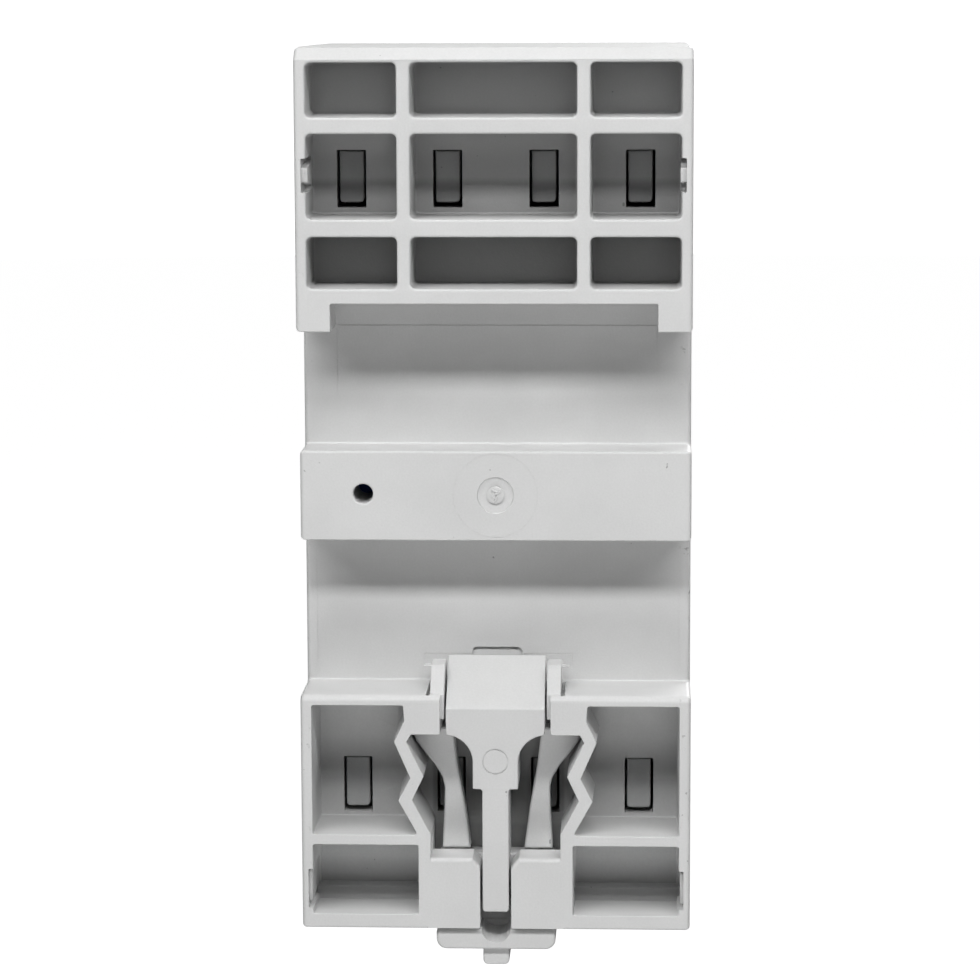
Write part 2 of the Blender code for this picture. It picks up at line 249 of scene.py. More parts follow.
def carve(bm, steps):
    """Booleans in order: steps is a list of (operation, cutters in bmesh form)."""
    body = temporary(bm, "body")
    for how, tools in steps:
        group = bpy.data.collections.new("tools")
        bpy.context.scene.collection.children.link(group)
        for tool in tools:
            obj = temporary(tool)
            bpy.context.scene.collection.objects.unlink(obj)
            group.objects.link(obj)
        mod = body.modifiers.new(how, "BOOLEAN")
        mod.operation, mod.operand_type, mod.collection, mod.solver = how, "COLLECTION", group, "MANIFOLD"
        result = bpy.data.meshes.new_from_object(body.evaluated_get(bpy.context.evaluated_depsgraph_get()))
        body.modifiers.clear()
        body.data = result
        for obj in list(group.objects):
            bpy.data.objects.remove(obj, do_unlink=True)
        bpy.data.collections.remove(group)
    out = bmesh.new()
    out.from_mesh(body.data)
    bpy.data.objects.remove(body, do_unlink=True)
    out.normal_update()
    bmesh.ops.triangulate(out, faces=[f for f in out.faces if len(f.verts) > 4], ngon_method="EAR_CLIP")
    bmesh.ops.remove_doubles(out, verts=out.verts, dist=0.0005)
    return out


def piece(name, bm, body, mat, replaces=(), sharp=32):
    """A finished piece in metres: smooth over its small radii, flat on its flats."""
    bmesh.ops.dissolve_degenerate(bm, dist=0.0002, edges=bm.edges)
    bmesh.ops.triangulate(bm, faces=[f for f in bm.faces if len(f.verts) > 4])
    data = bpy.data.meshes.new(name)
    bm.to_mesh(data)
    bm.free()
    data.transform(Matrix.Scale(MM, 4))
    data.shade_smooth()
    data.set_sharp_from_angle(angle=math.radians(sharp))
    data.materials.clear()
    obj = bpy.data.objects.new(name, data)
    bpy.context.scene.collection.objects.link(obj)
    weighted = obj.modifiers.new("even shading", "WEIGHTED_NORMAL")
    weighted.keep_sharp, weighted.weight = True, 100
    obj.data = bpy.data.meshes.new_from_object(obj.evaluated_get(bpy.context.evaluated_depsgraph_get()))
    obj.modifiers.clear()
    obj.data.materials.append(mat)
    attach(obj, body)
    if replaces:
        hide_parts(*replaces)
    return obj


def plastic(name, colour, rough=0.42, grain=0.6, mottle=0.03, specks=0.5, seed=0.0, rubs=0.0, recess=()):
    """Moulded thermoplastic: spark-eroded grain, slow mottling, a few dust specks and rubs. recess gives a
    colour factor by height
    inside the hollows: painted shade on their floors and in their corners, with painted light where a factor
    is over 1."""
    mat = bpy.data.materials.new(name)
    mat.use_nodes = True
    nodes, links = mat.node_tree.nodes, mat.node_tree.links
    shader = nodes["Principled BSDF"]
    place = nodes.new("ShaderNodeTexCoord")
    shift = nodes.new("ShaderNodeMapping")
    shift.inputs["Location"].default_value = (seed, seed * 0.7, -seed)
    links.new(place.outputs["Object"], shift.inputs["Vector"])

    def noise(scale, detail, rough_=0.5):
        node = nodes.new("ShaderNodeTexNoise")
        node.inputs["Scale"].default_value, node.inputs["Detail"].default_value = scale, detail
        node.inputs["Roughness"].default_value = rough_
        links.new(shift.outputs["Vector"], node.inputs["Vector"])
        return node.outputs["Fac"]

    def ramp(source, stops):
        node = nodes.new("ShaderNodeValToRGB")
        while len(node.color_ramp.elements) < len(stops):
            node.color_ramp.elements.new(0.5)
        for element, (at, value) in zip(node.color_ramp.elements, stops):
            element.position, element.color = at, (*value, 1.0)
        links.new(source, node.inputs["Fac"])
        return node.outputs["Color"]

    def mixed(a, b, fac=None, how="MULTIPLY", amount=1.0):
        node = nodes.new("ShaderNodeMix")
        node.data_type, node.blend_type = "RGBA", how
        node.inputs[0].default_value = amount
        if fac is not None:
            links.new(fac, node.inputs[0])
        links.new(a, node.inputs[6])
        links.new(b, node.inputs[7])
        return node.outputs[2]

    light = [min(c * (1 + mottle), 1.0) for c in colour]
    dark = [c * (1 - mottle) for c in colour]
    base = ramp(noise(90, 4, 0.6), [(0.35, dark), (0.65, light)])
    fine = ramp(noise(5200, 2), [(0.3, (0.955,) * 3), (0.7, (1.0,) * 3)])
    dust = ramp(noise(1500, 1), [(0.17, (1 - specks,) * 3), (0.2, (1.0, 1.0, 1.0))])
    colour_out = mixed(mixed(base, fine), dust)
    split = nodes.new("ShaderNodeSeparateXYZ")
    links.new(place.outputs["Object"], split.inputs["Vector"])

    def span(source, low, high, to=(0.0, 1.0)):
        node = nodes.new("ShaderNodeMapRange")
        node.interpolation_type = "SMOOTHSTEP"
        for k, value in enumerate((low, high, *to), 1):
            node.inputs[k].default_value = value
        links.new(source, node.inputs[0])
        return node.outputs[0]

    def maths(how, *values):
        node = nodes.new("ShaderNodeMath")
        node.operation = how
        for k, value in enumerate(values):
            if isinstance(value, float):
                node.inputs[k].default_value = value
            else:
                links.new(value, node.inputs[k])
        return node.outputs[0]

    if rubs:  # the outer sides are scuffed by handling
        edge = span(maths("ABSOLUTE", split.outputs["X"]), 0.0168, 0.0176)
        scuff = span(noise(800, 3, 0.7), 0.60, 0.68)
        patch = span(noise(120, 2), 0.48, 0.6)
        mark = maths("MULTIPLY", maths("MULTIPLY", maths("MULTIPLY", edge, scuff), patch), rubs)
        colour_out = mixed(colour_out, ramp(noise(2000, 2), [(0.3, (0.25,) * 3), (0.7, (0.6,) * 3)]), mark)
    if recess:  # painted shade in the hollows, with painted light where a factor is over 1; the deepest painted shade is on the floor of the clip's channel
        tone = nodes.new("ShaderNodeValToRGB")
        while len(tone.color_ramp.elements) < len(recess):
            tone.color_ramp.elements.new(0.5)
        for element, (z, value) in zip(tone.color_ramp.elements, recess):
            element.position, element.color = (z + 42) / 84, (value, value, value, 1.0)
        links.new(maths("MULTIPLY_ADD", split.outputs["Z"], 1 / 0.084, 0.5), tone.inputs["Fac"])
        inside = span(maths("ABSOLUTE", split.outputs["X"]), 0.01725, 0.0169)
        depth = span(split.outputs["Y"], 0.0068, 0.002)
        colour_out = mixed(colour_out, tone.outputs["Color"], maths("MULTIPLY", inside, depth))
        # painted shadow on the floor of the clip's channel, darker towards the bottom
        middle = span(maths("ABSOLUTE", split.outputs["X"]), 0.0064, 0.006)
        lowest = span(split.outputs["Y"], 0.0016, 0.0006)
        under = span(split.outputs["Z"], -0.021, -0.0235)
        channel_painted_shade = ramp(span(split.outputs["Z"], -0.0322, -0.0314), [(0.0, (0.3,) * 3), (1.0, (0.58,) * 3)])
        colour_out = mixed(colour_out, channel_painted_shade, maths("MULTIPLY", maths("MULTIPLY", middle, lowest), under))
    links.new(colour_out, shader.inputs["Base Color"])
    links.new(ramp(noise(260, 3), [(0.3, (rough - 0.05,) * 3), (0.7, (rough + 0.07,) * 3)]),
              shader.inputs["Roughness"])
    bump = nodes.new("ShaderNodeBump")
    bump.inputs["Strength"].default_value, bump.inputs["Distance"].default_value = grain, 0.00002
    links.new(noise(6500, 3), bump.inputs["Height"])
    links.new(bump.outputs["Normal"], shader.inputs["Normal"])
    shader.inputs["Specular IOR Level"].default_value = 0.4
    return mat


# painted shade (factors under 1) and painted light (factors over 1) in the hollows, by height in millimetres
HOLLOW_PAINTED_SHADE_AND_LIGHT = ((-40.0, 1.0), (-39.4, 0.5), (-37.5, 0.65), (-35.0, 1.5), (-32.2, 1.5), (-31.6, 0.85), (-27.6, 0.53),
        (-23.5, 1.0), (18.6, 1.0), (19.3, 0.52), (24.2, 0.54), (25.6, 0.36), (28.4, 0.43),
        (29.2, 0.78), (40.0, 0.72), (40.4, 1.0))
case_plastic = plastic("case_grey_plastic", (0.62, 0.622, 0.62), seed=0.1, rubs=1.0, recess=HOLLOW_PAINTED_SHADE_AND_LIGHT)

side = [(Y_SEAM, Z_BOT), (Y_BACK, Z_BOT), (Y_BACK, -Z_REST), (0, -Z_REST), (0, Z_BAND[0]),
        (Y_BAND, Z_BAND[0]),
        (Y_BAND, Z_BAND[1]), (0, Z_BAND[1]), (0, Z_HOOK), (Y_BACK, Z_HOOK), (Y_BACK, 40.05), (6.3, 41.1),
        (4.0, Z_TOP - 0.02), (Y_SEAM, 40.8)]
side_radii = [0.2, 0.25, 0.7, 0.15, 0.2, 0.12, 0.25, 0.2, 0.1, 0.1, 0.12, 0.3, 1.0, 0.2]
shell = slab(side, "x", lo.x, hi.x, corner=side_radii, edge=0.4, steps=5, arc=4)

far = Y_BACK + 2
hollow = slab([(Y_SEAM - 2, -38.7), (-1.8, -38.7), (-1.8, 39.7), (Y_SEAM - 2, 39.7)], "x",
              -16.3, 16.3, 0.6, 0.6)
notches = [slab(rect(-X_HOOK, X_HOOK, Z_HOOK - 0.6, Z_REST), "y", -0.001, far, 0.2, 0.05),
           slab(rect(-20, 20, Z_HOOK - 0.6, Z_REST), "y", -0.001, 1.4, 0.2, 0.05)]

POCKET_FLOOR = 1.75
ROWS = ((34.87, 39.8), (25.7, 33.4), (19.4, 24.1))
COLUMNS = ((-16.97, -8.75), (-7.53, 7.53), (8.75, 16.97))
upper = [pocket(rect(x0, x1, z0, z1), Y_BACK, POCKET_FLOOR, corner=0.5, rim=0.22, foot=0.2)
         for z0, z1 in ROWS for x0, x1 in COLUMNS]

# the lower block: detent walls, a hollow beside and below each, and the clip's channel
ZIG_OUT = [(16.97, -31.3), (16.97, -19.07), (8.5, -19.07), (8.4, -20.55), (9.36, -22.5), (7.88, -25.9),
           (9.0, -28.05), (7.19, -31.3)]
ZIG_IN = [(6.1, -41.5), (6.0, -31.2), (7.7, -28.0), (6.63, -25.75), (8.2, -22.5), (7.8, -21.8), (5.1, -21.8),
          (5.1, -17.0)]
FOOT = [(16.97, -38.85), (16.97, -32.25), (7.15, -32.25), (7.15, -38.85)]
lower = [pocket(ZIG_IN + flip(ZIG_IN), Y_BACK, 0.3, corner=0.12, rim=0.08, foot=0.1, steps=3, draft=0.0)]
for points in (ZIG_OUT, FOOT):
    for outline in (points, flip(points)):
        lower.append(pocket(outline, Y_BACK, 0.3, corner=0.2, rim=0.08, foot=0.15, steps=3))

windows = []
for x in POLES:
    for z, depth in ((29.05, POCKET_FLOOR), (-28.08, 0.3)):
        half = WINDOW[0] / 2
        outline = rect(x - half, x + half, z - WINDOW[1] / 2, z + WINDOW[1] / 2)
        windows.append(slab(outline, "y", -3, depth + 1, 0.12, 0.05))
windows.append(turned(12.2, 0.3, [(0.93, -3), (0.93, Y_BAND - 0.1), (1.05, Y_BAND), (1.2, Y_BAND + 1)]))


# the guides' bars over the clip's foot, prongs that hold the flange beside the clip, snap catches
def guide_bar(drop):
    return [(1.45, -40.15), (6.3, -40.15), (6.3, -33.5 - drop), (2.15 + drop * 0.3, -33.5 - drop),
            (1.45, -34.35 - drop)]


bars = []
for turn in (list, flip):
    steps = [(3.2, 0.12), (Y_BACK - 0.4, 0.0)]
    steps += [(Y_BACK - 0.4 * (1 - math.sin(a)), 0.4 * (1 - math.cos(a))) for a in (0.35, 0.7, 1.0, 1.3)]
    steps += [(Y_BACK, 0.4)]
    bars.append(loft([(y, rounded(turn(guide_bar(drop)), 0.15, 0.0, 4)) for y, drop in steps], "y"))
prongs = []
for s in (-1, 1):
    a, b = sorted((s * 4.74, s * 6.05))
    prongs.append(slab([(1.5, -20.5), (6.6, -20.5), (6.5, -18.2), (4.7, -16.1), (4.3, -15.8),
                        (1.5, -15.75)], "x",
                       a, b, 0.2, 0.1))
    a, b = sorted((s * 5.5, s * 6.75))
    prongs.append(slab([(3.2, -16.02), (4.2, -16.02), (4.2, -15.9), (3.2, -15.9)], "x", a, b, 0.04, 0.02))
slits = []
for s in (-1, 1):
    a, b = sorted((s * 6.05, s * 6.4))
    slits.append(slab([(0.6, -18.9), (6.9, -18.9), (6.9, -16.9), (0.6, -16.9)], "x", a, b, 0.1, 0.02))
    a, b = sorted((s * 16.6, s * 17.4))
    slits.append(slab([(2.6, 28.1), (far, 28.1), (far, 31.2), (2.6, 31.2)], "x", a, b, 0.2, 0.1))
    slits.append(slab([(1.2, -38.3), (far, -38.3), (far, -34.6), (1.2, -34.6)], "x", a, b, 0.2, 0.1))
catches = []
for s in (-1, 1):
    a, b = sorted((s * 16.85, s * 17.6))
    catches.append(slab([(2.0, 28.5), (6.6, 29.0), (6.6, 30.3), (2.0, 30.9)], "x", a, b, 0.15, 0.1))
    a, b = sorted((s * 17.1, s * 17.7))
    catches.append(slab([(1.0, -37.9), (6.4, -37.9), (6.4, -35.0), (1.0, -35.0)], "x", a, b, 0.15, 0.1))
    a, b = sorted((s * 7.0, s * 17.1))
    catches.append(slab([(0.1, -39.2), (2.3, -39.2), (1.9, -37.6), (0.1, -37.5)], "x", a, b, 0.2, 0.05))


# hair lines where the mould's inserts meet, and the gate's round marks on the band
def hair(x0, x1, z0, z1, y=0.0, depth=0.05):
    half = 0.04
    if z0 == z1:
        return slab(rect(x0, x1, z0 - half, z0 + half), "y", y - depth, y + 0.4, 0.01, 0.005, 1, 1)
    return slab(rect(x0 - half, x0 + half, z0, z1), "y", y - depth, y + 0.4, 0.01, 0.005, 1, 1)


hairs = [hair(-14.8, 14.8, 15.42, 15.42), hair(-16.5, 16.5, 39.98, 39.98, y=Y_BACK, depth=0.03)]
for s in (-1, 1):
    hairs += [hair(s * 14.86, s * 14.86, 8.6, 15.3), hair(s * 16.95, s * 16.95, -17.6, -5.0, depth=0.03),
              hair(s * 6.95, s * 6.95, -17.0, -15.6, depth=0.04),
              hair(s * 2.4, s * 6.95, -15.6, -15.6, depth=0.04)
              if s > 0 else hair(-6.95, -2.4, -15.6, -15.6, depth=0.04)]
relief = slab(rect(-2.3, 2.4, -17.2, -14.92), "y", -0.25, 1.0, (0.1, 0.1, 0.35, 0.5), 0.08)


def ring_cut(radius, width, depth):
    out = turned(0, 0.2, [(radius + width, Y_BAND - depth), (radius + width * 0.7, Y_BAND + 0.022)], 72)
    inner = turned(0, 0.2, [(radius, Y_BAND - depth - 0.1), (radius, Y_BAND + 0.6)], 72)
    return carve(out, [("DIFFERENCE", [inner])])


dish = turned(0, 0.2, [(0.7, Y_BAND - 0.26), (1.05, Y_BAND - 0.24), (1.4, Y_BAND - 0.2),
                       (1.62, Y_BAND - 0.12), (1.72, Y_BAND + 0.02), (1.72, Y_BAND + 0.3)], 56)
gate = turned(0, 0.2, [(0.8, Y_BAND - 0.4), (0.8, Y_BAND - 0.1), (0.7, Y_BAND - 0.04)], 32)
torn = []
for x, z, turn in ((-0.2, 0.4, 0.5), (0.25, 0.1, 2.1), (-0.05, -0.15, 1.2), (0.1, 0.6, 2.7)):
    shred = slab(rect(-0.3, 0.3, -0.09, 0.09), "y", Y_BAND - 0.2, Y_BAND + 0.05, 0.05, 0.05, 2, 2)
    shred.transform(Matrix.Translation((x, 0, z)) @ Matrix.Rotation(turn, 4, "Y"))
    torn.append(shred)
body = carve(shell, [("DIFFERENCE", [hollow]), ("DIFFERENCE", notches), ("DIFFERENCE", upper),
                     ("DIFFERENCE", lower), ("DIFFERENCE", slits), ("DIFFERENCE", windows),
                     ("UNION", bars), ("UNION", prongs), ("UNION", catches), ("DIFFERENCE", hairs + [relief]),
                     ("DIFFERENCE", [dish]), ("UNION", [gate, ring_cut(3.85, 0.08, 0.05)]), ("UNION", torn)])
piece("rear_case", body, "housing", case_plastic, ["rear_housing"])

# ---------------------------------------------------------------- inner frame
# A mid grey, glass-filled moulding that closes the rear case from inside and holds the contacts.
# Eight square pegs stand on it and fill the windows of the rear case, where they are staked.

# the pegs in the windows get the same painted shade by height as the rear case's hollows
frame_plastic = plastic("frame_grey_plastic", (0.5, 0.505, 0.505), rough=0.5, grain=0.9, mottle=0.06,
                        seed=1.3, recess=HOLLOW_PAINTED_SHADE_AND_LIGHT)
plate = slab(rect(-15.9, 15.9, -38.2, 38.2), "y", -24.5, -22.5, 1.0, 0.25)
opening = slab(rect(-14.4, 14.4, -13.4, 13.4), "y", -30, -18, 1.0, 0.05)
pegs = [slab(rect(x - 1.1, x + 1.13, z - 2.2, z + 2.52), "y", -22.8, tip, (0.4, 0.3, 0.08, 0.08), 0.12)
        for x in POLES for z, tip in ((29.05, 1.1), (-28.08, 0.05))]
holders = [slab(rect(-15.9, 15.9, *sorted((s * 14.0, s * 20.5))), "y", -33.8, -24.0, 0.4, 0.3)
           for s in (-1, 1)]
ribs = [slab(rect(x - 0.4, x + 0.4, *sorted((s * 20.2, s * 37.0))), "y", -26.0, -24.3, 0.1, 0.1)
        for x in (-8.83, 0.0, 8.83) for s in (-1, 1)]
bm = carve(plate, [("UNION", pegs), ("UNION", holders), ("UNION", ribs), ("DIFFERENCE", [opening])])
piece("peg_frame", bm, "housing", frame_plastic, ["inner_frame"])

# ---------------------------------------------------------------- rail clip
# A springy light grey moulding that slides down to free the rail: wedge head, stem, foot under the
# guides and a pull tab with a screwdriver slot. Two arms bend as their tips pass the detent walls.

clip_plastic = plastic("clip_grey_plastic", (0.61, 0.612, 0.61), rough=0.4, grain=0.5, seed=2.1)
Y0, Y1 = 0.6, 7.1


def mirrored(half):
    return half + flip(half)


head_side = [(Y0, -21.55), (Y1, -21.55), (Y1, -19.4), (1.9, -15.33), (1.4, -15.65), (1.4, -18.0), (Y0, -18.6)]
clip = slab(head_side, "x", -4.57, 4.57, [0.1, 0.05, 0.2, 0.15, 0.05, 0.1, 0.1], 0.1, steps=5)
sweep = [(4.7 - 2.6 * math.cos(a), -24.4 + 2.55 * math.sin(a))
         for a in (math.pi / 2 * k / 8 for k in range(9))]
neck = [(1.22, -38.62), (1.22, -27.15), (1.35, -26.98), (2.1, -26.95), *sweep[:-1],
        (4.52, -21.84), (4.52, -20.6)]
neck_radii = [0.28, 0.1, 0.05, 0.12] + [0.3] * 8 + [0.05, 0.05]
stem = slab(mirrored(neck), "y", Y0, Y1, neck_radii + neck_radii[::-1], 0.12, steps=3)
foot = slab(rect(-5.5, 5.5, -40.7, -34.0), "y", Y0, 2.9, 0.3, 0.2)
tab = slab(rect(-5.55, 5.55, -42.3, -40.4), "y", Y0, 6.8, [0.95, 0.95, 0.35, 0.35], 0.3, steps=6, arc=5)
tongue = slab(rect(-1.22, 1.22, -43.93, -41.2), "y", Y0, 6.2, [0.45, 0.45, 0.25, 0.25], 0.2)
ears = slab(rect(-1.45, 1.45, -42.75, -41.2), "y", Y0, 4.6, [0.25, 0.25, 0.2, 0.2], 0.15)
slot_end = [(1.36 * math.cos(a), -40.3 + 1.36 * math.sin(a)) for a in (-math.pi * k / 12 for k in range(13))]
slot = slab([(-1.36, -39.0), *reversed(slot_end), (1.36, -39.0)], "y", 3.0, 9.0, 0.02, 0.02, 1, 1)
for vert in slot.verts:
    if vert.co.z < -39.0:
        vert.co.z += (6.8 - vert.co.y) * 0.15 * (-39.0 - vert.co.z) / 2.66
link = slab(rect(-1.2, 1.2, -39.5, -37.0), "y", Y0, 3.1, 0.1, 0.1)
ejector = turned(0, -24.35, [(1.14, Y1 - 0.07), (1.21, Y1 - 0.06), (1.21, Y1 + 1)], 40)
inner = turned(0, -24.35, [(1.1, Y1 - 0.3), (1.1, Y1 + 2)], 40)
ejector = carve(ejector, [("DIFFERENCE", [inner])])
grip = [slab(rect(-4.3, 4.3, -42.6, -42.15), "y", y, y + 0.35, 0.05, 0.03) for y in (1.6, 2.4, 3.2, 4.0, 4.8)]
bm = carve(clip, [("UNION", [stem]), ("UNION", [foot, link]), ("UNION", [tab]), ("UNION", [tongue]),
                  ("UNION", [ears]), ("DIFFERENCE", [slot]), ("DIFFERENCE", [ejector]), ("DIFFERENCE", grip)])
piece("rail_clip", bm, "clip", clip_plastic, ["din_clip"])

ARM = [(2.5, -33.65), (5.18, -33.65), (4.98, -29.8), (4.93, -27.8), (5.15, -26.8),
       (5.85, -25.6), (6.8, -24.4),
       (7.6, -23.35), (7.86, -22.6), (7.6, -22.05), (4.2, -22.05), (4.0, -23.35), (3.7, -25.8), (3.35, -27.8),
       (3.0, -29.8)]
ARM_RADII = [0.1, 0.1, 3.0, 2.0, 1.5, 2.0, 2.5, 0.6, 0.15, 0.15, 0.25, 3.0, 3.0, 3.0, 3.0]
# the arms are the clip's own plastic painted lighter: painted light on arms that sit in the channel's shade
arm_painted_light_plastic = plastic("arm_grey_plastic_painted_light", (0.76, 0.762, 0.76), rough=0.45, grain=0.5, seed=2.6)
for label, points, radii, node in (("left", ARM, ARM_RADII, "clip_arm_left"),
                                   ("right", flip(ARM), ARM_RADII[::-1], "clip_arm_right")):
    arm = slab(points, "y", Y0, 2.9, radii, 0.25, steps=4, arc=4)
    piece(f"spring_arm_{label}", arm, "clip", arm_painted_light_plastic, [node])

# ---------------------------------------------------------------- front case
# The front half: light grey, moulded in one with its nose. Wells lead to the terminal screws, and
# square entries above and below let the wires in. Hooks at its sides snap into the rear case.

front_plastic = plastic("front_grey_plastic", (0.66, 0.665, 0.665), rough=0.4, grain=0.5, seed=3.7, rubs=0.3)
Y_SHOULDER, Y_NOSE, Z_NOSE = -44.0, -60.0, 22.4
f_lo, f_hi = (Vector(c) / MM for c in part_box("front_housing"))
case_side = [(Y_SHOULDER, f_lo.z + 0.3), (f_hi.y, f_lo.z), (f_hi.y, 40.6), (Y_SHOULDER, 40.3),
             (Y_SHOULDER, Z_NOSE), (Y_NOSE, Z_NOSE), (Y_NOSE, -Z_NOSE), (Y_SHOULDER, -Z_NOSE)]
front = slab(case_side, "x", f_lo.x, f_hi.x, [1.0, 0.15, 0.15, 1.0, 0.6, 1.3, 1.3, 0.6], 0.7, steps=6, arc=5)
cavity = slab(rect(-16.2, 16.2, -20.9, 20.9), "y", Y_NOSE + 1.6, -20, 1.0, 0.3)
recess = pocket(rect(-15.5, 15.5, -11.0, 20.9), Y_NOSE, Y_NOSE + 0.7, 0.8, 0.2, 0.1)
window = slab(rect(-3, 3, 4, 13), "y", Y_NOSE - 1, Y_NOSE + 2, 0.4, 0.05)
chambers, wells, entries, grooves = [], [], [], []
for x in POLES:
    for s in (-1, 1):
        z = s * 33.0
        chambers.append(slab(rect(x - 3.8, x + 3.8, *sorted((s * 20.4, s * 38.4))), "y",
                             -42.5, -20, 0.4, 0.2))
        wells.append(turned(x, z, [(4.0, -45.0), (3.6, -44.02), (3.35, -43.95), (3.1, -43.75),
                                   (3.0, -43.4), (3.0, -42.0)]))
        entries.append(pocket(rect(x - 2.8, x + 2.8, -34.0, -28.8), s * (40.9 if s > 0 else 39.9),
                              s * 37.9, 0.7, 0.55,
                              0.02, axis="z"))
for x in (-8.83, 0.0, 8.83):
    for s in (-1, 1):
        grooves.append(slab(rect(x - 0.45, x + 0.45, *sorted((s * 23.4, s * 43))), "y", -45,
                            -43.3, 0.1, 0.15))
        grooves.append(slab(rect(x - 0.45, x + 0.45, -43.4, -27.5), "z",
                            *sorted((s * 39.3, s * 42)), 0.1, 0.1))
coil_ways = []
for s in (-1, 1):
    x = s * 5.5
    coil_ways.append(turned(x, -17.0, [(3.4, -61.0), (3.1, -60.02), (2.8, -59.95), (2.6, -59.75),
                                       (2.5, -59.4), (2.5, -58.0)]))
    coil_ways.append(pocket(rect(x - 2.1, x + 2.1, -57.6, -54.6), -Z_NOSE, -Z_NOSE + 1.6, 0.5, 0.35,
                            0.02, axis="z"))
vents = []
for s in (-1, 1):
    for k in range(7):
        y = -57.6 + 1.9 * k
        a, b = sorted((s * 16.9, s * 18.2))
        vents.append(slab([(y, -9.0), (y + 0.8, -9.0), (y + 0.8, 9.0), (y, 9.0)], "x", a, b, 0.35, 0.05))
    for z in (-31.0, 26.5):
        a, b = sorted((s * 17.3, s * 18.4))
        vents.append(slab([(-31.6, z), (-27.6, z), (-27.6, z + 5.0), (-31.6, z + 5.0)], "x", a, b, 0.3, 0.05))
hooks = []
for s in (-1, 1):
    for z in (-31.0, 26.5):
        a, b = sorted((s * 17.2, s * 17.72))
        hooks.append(slab([(-31.0, z + 0.6), (-28.4, z + 0.6), (-28.4, z + 4.4), (-31.0, z + 4.4)], "x",
                          a, b, 0.2, 0.15))
lip_out = slab(rect(-16.15, 16.15, -38.5, 39.5), "y", -28.0, -25.0, 1.0, 0.1)
lip_in = slab(rect(-15.65, 15.65, -37.6, 38.6), "y", -30, -20, 0.6, 0.1)
front = carve(front, [("DIFFERENCE", [cavity]), ("DIFFERENCE", [recess]), ("DIFFERENCE", chambers),
                      ("UNION", [carve(lip_out, [("DIFFERENCE", [lip_in])])]),
                      ("DIFFERENCE", wells), ("DIFFERENCE", entries), ("DIFFERENCE", grooves),
                      ("DIFFERENCE", coil_ways + [window]), ("DIFFERENCE", vents), ("UNION", hooks)])
piece("front_case", front, "housing", front_plastic, ["front_housing"])

# ---------------------------------------------------------------- nose cover, window and flag
# A darker grey plate, snapped into a recess of the nose, with a clear window pressed into it.
# Behind the window a red flag rises as the magnet pulls in.

cover_plastic = plastic("cover_grey_plastic", (0.2, 0.205, 0.215), rough=0.38, grain=0.8,
                        mottle=0.05, seed=5.1)
cover = slab(rect(-15.2, 15.2, -10.7, 20.6), "y", -60.3, -59.6, 0.7, 0.2, steps=5)
hole = slab(rect(-3.2, 3.2, 6.9, 11.1), "y", -62, -58, 0.3, 0.05)
panel = [slab(rect(-13.6, 13.6, z, z + 0.35), "y", -61, -60.0, 0.15, 0.05) for z in (-8.9, 4.6, 13.4, 18.6)]
label = slab(rect(-12.6, 12.6, -7.4, 3.1), "y", -61, -60.18, 0.4, 0.05)
piece("nose_plate", carve(cover, [("DIFFERENCE", [hole, label]), ("DIFFERENCE", panel)]),
      "housing",
      cover_plastic, ["nose_cover"])

clear = bpy.data.materials.new("clear_window")
clear.use_nodes = True
shader = clear.node_tree.nodes["Principled BSDF"]
shader.inputs["Base Color"].default_value = (0.9, 0.93, 0.93, 1.0)
shader.inputs["Transmission Weight"].default_value = 0.92
shader.inputs["IOR"].default_value = 1.49
haze = clear.node_tree.nodes.new("ShaderNodeTexNoise")
haze.inputs["Scale"].default_value, haze.inputs["Detail"].default_value = 900, 4
place = clear.node_tree.nodes.new("ShaderNodeTexCoord")
spread = clear.node_tree.nodes.new("ShaderNodeValToRGB")
spread.color_ramp.elements[0].color = (0.03, 0.03, 0.03, 1)
spread.color_ramp.elements[1].color = (0.16, 0.16, 0.16, 1)
clear.node_tree.links.new(place.outputs["Object"], haze.inputs["Vector"])
clear.node_tree.links.new(haze.outputs["Fac"], spread.inputs["Fac"])
clear.node_tree.links.new(spread.outputs["Color"], shader.inputs["Roughness"])
lens = slab(rect(-2.9, 2.9, 7.2, 10.8), "y", -60.2, -59.5, 0.35, 0.22, steps=5, arc=5)
piece("clear_window", lens, "housing", clear, ["window_lens"])

flag_plastic = plastic("flag_red_plastic", (0.55, 0.03, 0.02), rough=0.35, grain=0.4, mottle=0.08, seed=6.3)
flag = slab(rect(-2.2, 2.2, 3.4, 6.9), "y", -58.1, -57.4, 0.35, 0.15)
pin = slab(rect(-0.6, 0.6, 4.5, 5.6), "y", -57.6, -51.0, 0.2, 0.15)
piece("red_flag", carve(flag, [("UNION", [pin])]), "flag", flag_plastic, ["indicator_flag"])


# ---------------------------------------------------------------- terminal screws
# M4 screws of zinc plated steel with a slot and cross recess. They are held in the case and turn
# in the thread of a cage, which they draw forward onto the wire.


